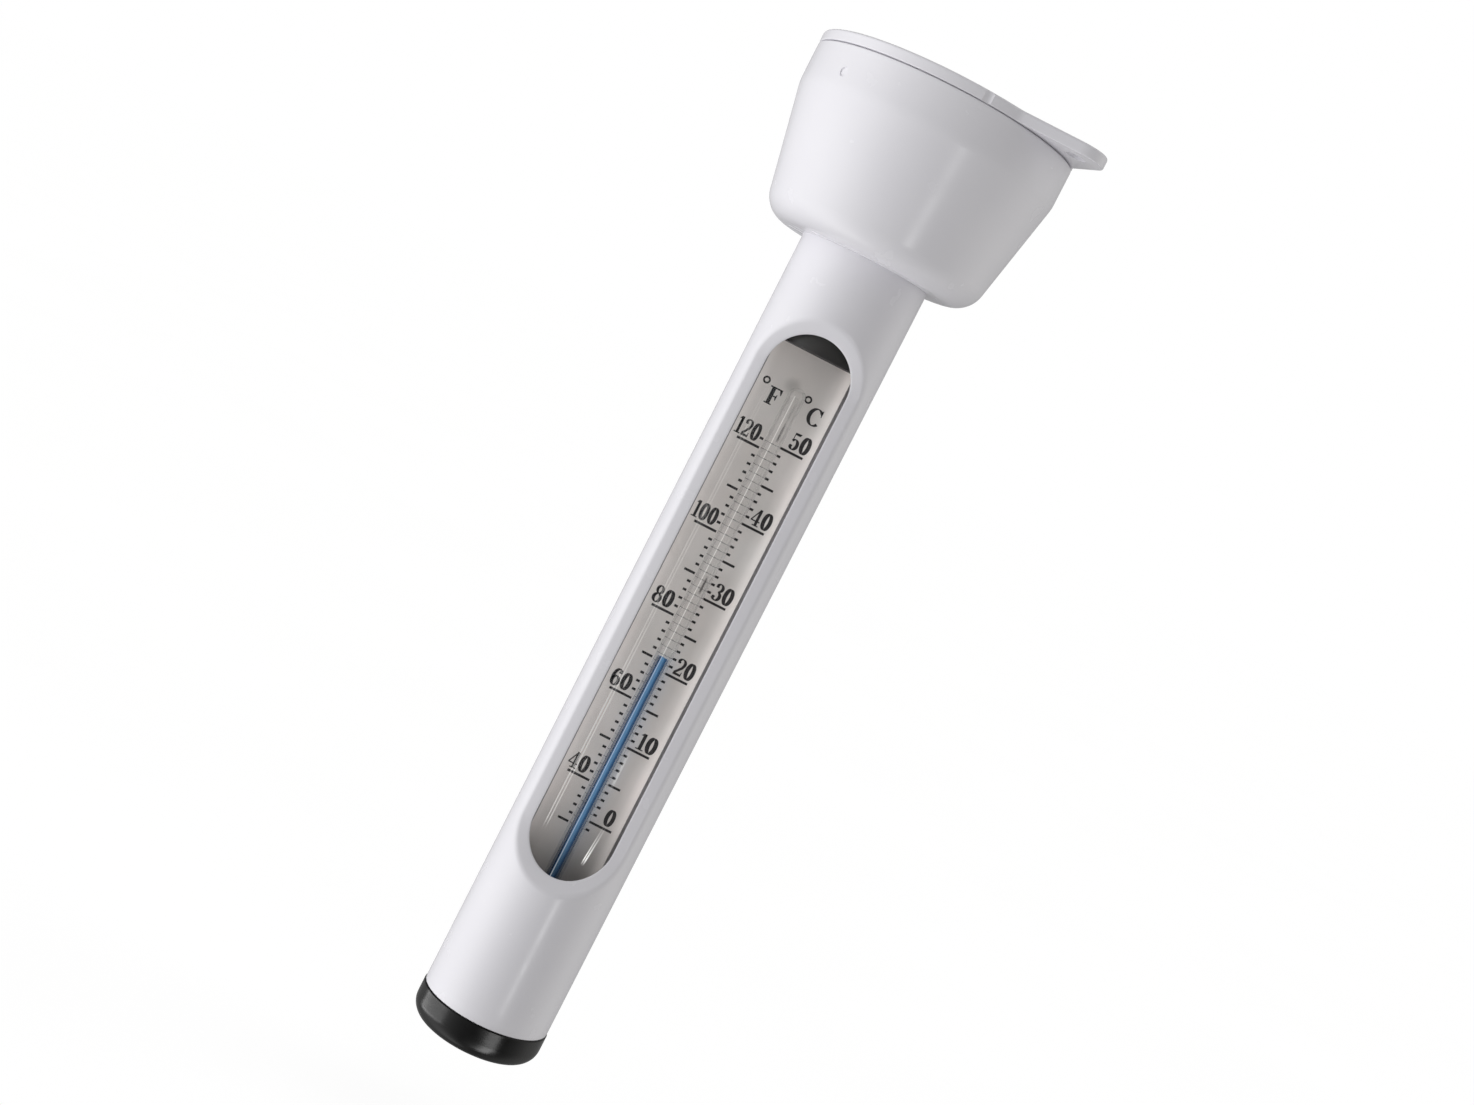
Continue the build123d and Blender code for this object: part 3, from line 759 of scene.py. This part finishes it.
# Each figure is drawn on a body 1 high: pen strokes, bars (x0, x1, y0, y1), quads and balls.
FIGURES = {
    "0": (0.50, [oval(0.25, 0.5, 0.16, 0.465, 0.195)]),
    "1": (0.36, [("bar", 0.13, 0.28, 0.03, 0.98), ("bar", 0.02, 0.38, 0.0, THIN),
                 ("quad", [(0.02, 0.82), (0.14, 0.84), (0.14, 0.99), (0.10, 0.93)])]),
    "2": (0.50, [("pen", arc(0.25, 0.73, 0.17, 0.24, 165, -15, 20) + [(0.36, 0.5), (0.22, 0.3), (0.08, 0.12)],
                  0.15),
                 ("ball", 0.12, 0.75), ("quad", [(0.03, 0.0), (0.40, 0.0), (0.44, 0.13), (0.05, 0.13)]),
                 ("bar", 0.41, 0.45, 0.0, 0.26), ("bar", 0.36, 0.45, 0.0, 0.13)]),
    "3": (0.49, [("pen", arc(0.23, 0.755, 0.15, 0.215, 160, -90, 24), 0.15), ("ball", 0.11, 0.79),
                 ("pen", arc(0.22, 0.27, 0.17, 0.245, 90, -155, 24), 0.165), ("ball", 0.10, 0.2)]),
    "4": (0.52, [("pen", [(0.33, 0.97), (0.04, 0.28)], 0.06), ("bar", 0.02, 0.50, 0.24, 0.31),
                 ("bar", 0.27, 0.41, 0.03, 0.98), ("bar", 0.18, 0.50, 0.0, THIN)]),
    "5": (0.49, [("bar", 0.09, 0.13, 0.45, 0.95),
                 ("quad", [(0.09, 0.84), (0.36, 0.84), (0.42, 0.99), (0.09, 0.97)]),
                 ("pen", arc(0.23, 0.31, 0.165, 0.285, 140, -150, 26), 0.17), ("ball", 0.11, 0.2)]),
    "6": (0.50, [("pen", arc(0.28, 0.5, 0.19, 0.47, 50, 200, 24), 0.16),
                 oval(0.26, 0.29, 0.155, 0.265, 0.165), ("ball", 0.37, 0.8)]),
    "8": (0.50, [oval(0.25, 0.75, 0.135, 0.22, 0.13), oval(0.25, 0.265, 0.165, 0.24, 0.16)]),
    "F": (0.68, [("bar", 0.10, 0.30, 0.03, 0.97), ("bar", 0.0, 0.40, 0.0, 0.07),
                 ("bar", 0.0, 0.66, 0.92, 1.0),
                 ("quad", [(0.52, 0.93), (0.62, 0.68), (0.66, 0.68), (0.66, 0.98)]),
                 ("bar", 0.28, 0.44, 0.47, 0.54),
                 ("quad", [(0.40, 0.5), (0.46, 0.32), (0.50, 0.32), (0.50, 0.68)])]),
    "C": (0.76, [("pen", arc(0.42, 0.5, 0.31, 0.465, 42, 318, 34), 0.2), ("bar", 0.66, 0.70, 0.62, 1.0),
                 ("quad", [(0.58, 0.86), (0.66, 0.68), (0.68, 0.98), (0.62, 0.92)])]),
}


def draw_figure(sheet, name, left, foot, height, stretch=1.0):
    """Draws one figure with its foot at (left, foot); gives its width in millimetres."""
    width, strokes = FIGURES[name]

    def put(points):
        return [(left + x * height * stretch, foot + y * height) for x, y in points]

    for kind, *shape in strokes:
        if kind == "pen":
            path, thick = shape
            left_rail, right_rail = pen(path, THIN, thick)
            sheet.strip(put(left_rail), put(right_rail))
        elif kind == "bar":
            x0, x1, y0, y1 = shape
            sheet.quad(put([(x0, y0), (x1, y0), (x1, y1), (x0, y1)]))
        elif kind == "quad":
            sheet.quad(put(shape[0]))
        else:
            right_half, left_half = (arc(*shape, BALL, BALL * BALL_RISE, 90, end, 10) for end in (-90, 270))
            sheet.strip(put(right_half), put(left_half))
    return width * height * stretch


FIGURE_GAP = 0.04            # as a share of the figures' height


def draw_number(sheet, text, left, right, foot):
    """Fits a number between two x positions."""
    gap = FIGURE_GAP * FIGURE_HEIGHT
    natural = sum(FIGURES[c][0] for c in text) * FIGURE_HEIGHT
    stretch = (right - left - gap * (len(text) - 1)) / natural
    for c in text:
        left += draw_figure(sheet, c, left, foot, FIGURE_HEIGHT, stretch) + gap


# where the marks start, and where the short, the middle and the long ones end, left or right
C_START, C_MARKS = 1.75, (2.8, 4.7, 7.02)
F_START, F_MARKS = 1.98, (2.8, 4.4, 7.05)
C_PLACE = (3.07, 7.45)       # a number's inner and outer edge, unless it is listed here
C_FIGURES = {"0": (4.4, 6.5), "10": (3.3, 7.5)}
F_PLACE = (7.8, 3.35)
F_FIGURES = {"100": (8.35, 3.05), "120": (8.3, 3.05)}
GHOST = (-0.2, 0.45)         # the Celsius lines run on, fainter, behind the stem
# the headings: letter, left, height of the letter, and the middle of its degree ring
HEADING_FOOT = 145.4
HEADING_STRETCH = 1.08
HEADINGS = [("F", -5.5, 3.8, (-6.85, 149.75)), ("C", 3.7, 3.85, (2.57, 149.9))]
RING_R = 0.62
RING_HALF = 0.19             # half of the ring's line


def mark(sheet, x0, x1, z, thick):
    sheet.bar(x0, x1, z - thick / 2, z + thick / 2)


def mark_size(degree, middle_every, long_every):
    if degree % long_every == 0:
        return 2
    return 1 if degree % middle_every == 0 else 0


marks = Print()
for degree in C_DEGREES:
    z = ZERO_C + PER_DEGREE * degree
    size = mark_size(degree, 5, 10)
    mark(marks, C_START, C_MARKS[size], z, TICK_THICK)
    mark(marks, *GHOST, z, GHOST_THICK)
    if size == 2:
        number_left, number_right = C_FIGURES.get(str(degree), C_PLACE)
        draw_number(marks, str(degree), number_left, number_right, z + FIGURE_LIFT)
for degree in F_DEGREES:
    z = ZERO_C + PER_DEGREE * (degree - F_AT_ZERO_C) / F_PER_C
    size = mark_size(degree, 10, 20)
    mark(marks, -F_MARKS[size], -F_START, z, TICK_THICK)
    if size == 2:
        number_left, number_right = F_FIGURES.get(str(degree), F_PLACE)
        draw_number(marks, str(degree), -number_left, -number_right, z + FIGURE_LIFT)
for letter, letter_left, letter_height, _ in HEADINGS:
    draw_figure(marks, letter, letter_left, HEADING_FOOT, letter_height, HEADING_STRETCH)
for _, _, _, (x, z) in HEADINGS:
    outer_ring, inner_ring = (arc(x, z, r, r, 0, 360, 32) for r in (RING_R + RING_HALF, RING_R - RING_HALF))
    marks.strip(outer_ring, inner_ring)
scale_print = make_piece("scale_print", marks.points, marks.faces, INK, 20.0)
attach(scale_print, BODY)


# ---- liquid column, which stretches with its level -----------------------------------
COLUMN_R = 0.83
COLUMN_SIDES = 40
COLUMN_LEVELS = 60
# the hollow top: (share of the radius, depth under the level), from the wall to the middle
MENISCUS = [(0.92, 0.06), (0.7, 0.16), (0.4, 0.23), (0.12, 0.25)]


def column_ring(radius, z):
    turns = [2 * math.pi * k / COLUMN_SIDES for k in range(COLUMN_SIDES)]
    return [Vector((STEM_X + radius * math.cos(a), STEM_Y + radius * math.sin(a), z)) for a in turns]


def column_sheet():
    column = Sheet()
    rise = LEVEL - COLUMN_LOW
    rows = [column_ring(COLUMN_R, COLUMN_LOW + rise * i / COLUMN_LEVELS) for i in range(COLUMN_LEVELS + 1)]
    rows += [column_ring(COLUMN_R * share, LEVEL - dip) for share, dip in MENISCUS]
    column.add_rows(rows, closed=True)
    last = len(column.points) - COLUMN_SIDES
    column.faces.append(tuple(range(last, last + COLUMN_SIDES)))
    column.faces.append(tuple(reversed(range(COLUMN_SIDES))))
    return column


column = column_sheet()
liquid_column = make_piece("liquid_column", column.points, column.faces, BLUE, 50.0)
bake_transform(liquid_column)
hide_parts("indicator_column", "indicator_meniscus")


# ---- camera -------------------------------------------------------------------------
CAMERA_PLACE = Vector((-0.46, -428.4, 146.66)) * MM
YAW = math.radians(0.534)
PITCH = math.radians(4.163)
ROLL = math.radians(27.09)
FOCAL_SHARE = 1.4208         # focal length over the image's width
SENSOR = 36.0

look = Vector((math.sin(YAW) * math.cos(PITCH), math.cos(YAW) * math.cos(PITCH), -math.sin(PITCH)))
level_right = look.cross(Vector((0, 0, 1))).normalized()
level_up = level_right.cross(look)
right = level_right * math.cos(ROLL) + level_up * math.sin(ROLL)
up = level_up * math.cos(ROLL) - level_right * math.sin(ROLL)
camera = bpy.data.objects.new("camera", bpy.data.cameras.new("camera"))
SCENE.collection.objects.link(camera)
camera.data.sensor_width = SENSOR
camera.data.lens = SENSOR * FOCAL_SHARE
camera.data.clip_start = 0.01
camera.matrix_world = Matrix.Translation(CAMERA_PLACE) @ Matrix((right, up, -look)).transposed().to_4x4()
SCENE.camera = camera


# ---- studio: soft light all around, brightest at the left, and a white sweep ----------
SKY_LEVEL = 2.02
SKY_TOP = 2.2
POLE_LOSS = 0.3              # the light is weaker straight above and below by this share
# (azimuth in degrees from the camera's side towards +X, level, tint)
SKY = [(-180, 0.34, 1.0), (-140, 0.40, 1.0), (-122, 0.58, 1.0), (-108, 1.05, 1.0), (-92, 1.65, 1.0),
       (-76, 2.15, 1.0), (-64, 2.20, 1.0), (-52, 1.85, 1.0), (-40, 1.27, 1.0), (-28, 0.86, 1.0),
       (-14, 0.57, 1.0), (0, 0.42, 1.0), (30, 0.41, 0.98), (55, 0.41, 0.97), (70, 0.62, 0.97),
       (86, 1.13, 0.97), (102, 1.30, 0.97), (116, 1.16, 0.97), (130, 0.73, 0.98), (145, 0.45, 1.0),
       (180, 0.34, 1.0)]
# the left side is lit from lower down and the right side from higher up: (azimuth, lean)
LEANS = [(-180, 0.0), (-130, -0.45), (-40, -0.45), (10, 0.0), (60, 0.2), (130, 0.2), (180, 0.0)]


def turn_share(azimuth):
    return (azimuth + 180) / 360


def sky_colour(level, tint):
    level /= SKY_TOP
    return (level * tint, level * tint**1.3, level * tint**2, 1)


def studio_world():
    """A ring of soft light of uneven strength, which the camera sees as plain white."""
    world = bpy.data.worlds.new("studio")
    SCENE.world = world
    world.use_nodes = True
    sky = world.node_tree
    sky.nodes.clear()
    out = sky.nodes.new("ShaderNodeOutputWorld")
    direction = split(sky, add_node(sky, "ShaderNodeTexCoord").outputs["Generated"])
    azimuth = math_node(sky, "ARCTAN2", direction["X"], times(sky, direction["Y"], -1.0))
    share = math_node(sky, "MULTIPLY_ADD", azimuth, 1 / (2 * math.pi), 0.5)
    glow = ramp(sky, share, [(turn_share(a), sky_colour(level, tint)) for a, level, tint in SKY])
    # a ramp holds 0 to 1, so the lean is stored from -1 to 1 and unfolded behind it
    stored = ramp(sky, share, [(turn_share(a), grey((lean + 1) / 2)) for a, lean in LEANS])
    lean = math_node(sky, "MULTIPLY_ADD", stored, 2.0, -1.0)
    height = times(sky, direction["Z"], direction["Z"])
    level = math_node(sky, "MULTIPLY_ADD", height, -POLE_LOSS, 1.0)
    level = math_node(sky, "MULTIPLY_ADD", lean, direction["Z"], level)
    total = vector_node(sky, "MULTIPLY", glow, times(sky, level, SKY_LEVEL))[0]
    lit = add_node(sky, "ShaderNodeBackground", {"Color": total, "Strength": 1.0})
    seen = add_node(sky, "ShaderNodeBackground", {"Color": grey(1.0), "Strength": 1.0})
    camera_ray = add_node(sky, "ShaderNodeLightPath").outputs["Is Camera Ray"]
    sky.links.new(mixed(sky, camera_ray, lit, seen).outputs[0], out.inputs["Surface"])


studio_world()


def reflector(name, azimuth, low, high, width, radiance, distance, receivers):
    """An upright strip light that only shows as a highlight on the pieces it is meant for."""
    lamp = bpy.data.lights.new(name, "AREA")
    lamp.shape = "RECTANGLE"
    lamp.size = width
    lamp.size_y = high - low
    lamp.energy = radiance * math.pi * lamp.size * lamp.size_y
    strip = bpy.data.objects.new(name, lamp)
    SCENE.collection.objects.link(strip)
    turn = math.radians(azimuth)
    strip.location = (distance * math.sin(turn), -distance * math.cos(turn), (low + high) / 2)
    strip.rotation_euler = (math.pi / 2, 0.0, turn)
    strip.visible_camera = False
    strip.visible_diffuse = False
    seen_by = bpy.data.collections.new(name + "_receivers")
    for piece in receivers:
        seen_by.objects.link(piece)
    strip.light_linking.receiver_collection = seen_by


WHITE_SKIN = [casing_shell, NODES["float_bowl"], NODES["float_lid"]]
CAP = [NODES["end_cap"]]
# (name, azimuth, low end, high end, width, radiance, distance, receivers)
REFLECTORS = [
    ("low_strip", 28.5, -0.80, -0.46, 0.15, 17.0, 2.5, WHITE_SKIN),
    ("cap_left", -86.0, -0.78, -0.50, 1.70, 8.0, 1.5, CAP),
    ("cap_right", 36.0, -1.60, -0.32, 0.40, 15.0, 1.0, CAP)]
for strip_light in REFLECTORS:
    reflector(*strip_light)


# ---- floor: pale, and lower than the object by the travel of its end cap --------------
FLOOR_REACH = 40.0
CAP_TRAVEL = 0.02
FLOOR_GAP = 0.001            # between the pulled cap and the floor
FLOOR_LEVEL = -CAP_TRAVEL - FLOOR_GAP


def white_floor():
    """A pale floor that melts into the background, shows a soft shadow and is clear from below."""
    material, tree, out = new_material("floor")
    glow_colour = ramp(tree, noise(tree, object_place(tree), 8.0), [(0.3, grey(0.875)), (0.7, grey(0.88))])
    glow = add_node(tree, "ShaderNodeEmission", {"Color": glow_colour})
    dull = add_node(tree, "ShaderNodeBsdfDiffuse", {"Color": grey(0.22)})
    both = add_node(tree, "ShaderNodeAddShader", {0: glow.outputs[0], 1: dull.outputs[0]})
    below = add_node(tree, "ShaderNodeNewGeometry").outputs["Backfacing"]
    one_sided = mixed(tree, below, both, clear(tree, grey(1.0)))
    tree.links.new(one_sided.outputs[0], out.inputs["Surface"])
    return material


def add_floor():
    mesh = bpy.data.meshes.new("floor")
    signs = ((-1, -1), (1, -1), (1, 1), (-1, 1))
    corners = [(x * FLOOR_REACH, y * FLOOR_REACH, FLOOR_LEVEL) for x, y in signs]
    mesh.from_pydata(corners, [], [(0, 1, 2, 3)])
    mesh.materials.append(white_floor())
    floor = bpy.data.objects.new("floor", mesh)
    SCENE.collection.objects.link(floor)
    for ray_kind in ("diffuse", "glossy", "transmission", "shadow"):
        setattr(floor, "visible_" + ray_kind, False)


add_floor()

SCENE.view_settings.view_transform = "Standard"
SCENE.cycles.max_bounces = 16
SCENE.cycles.transmission_bounces = 12
SCENE.cycles.transparent_max_bounces = 16
SCENE.cycles.caustics_reflective = False
SCENE.cycles.caustics_refractive = False
SCENE.cycles.sample_clamp_direct = 4.0
SCENE.cycles.sample_clamp_indirect = 2.0
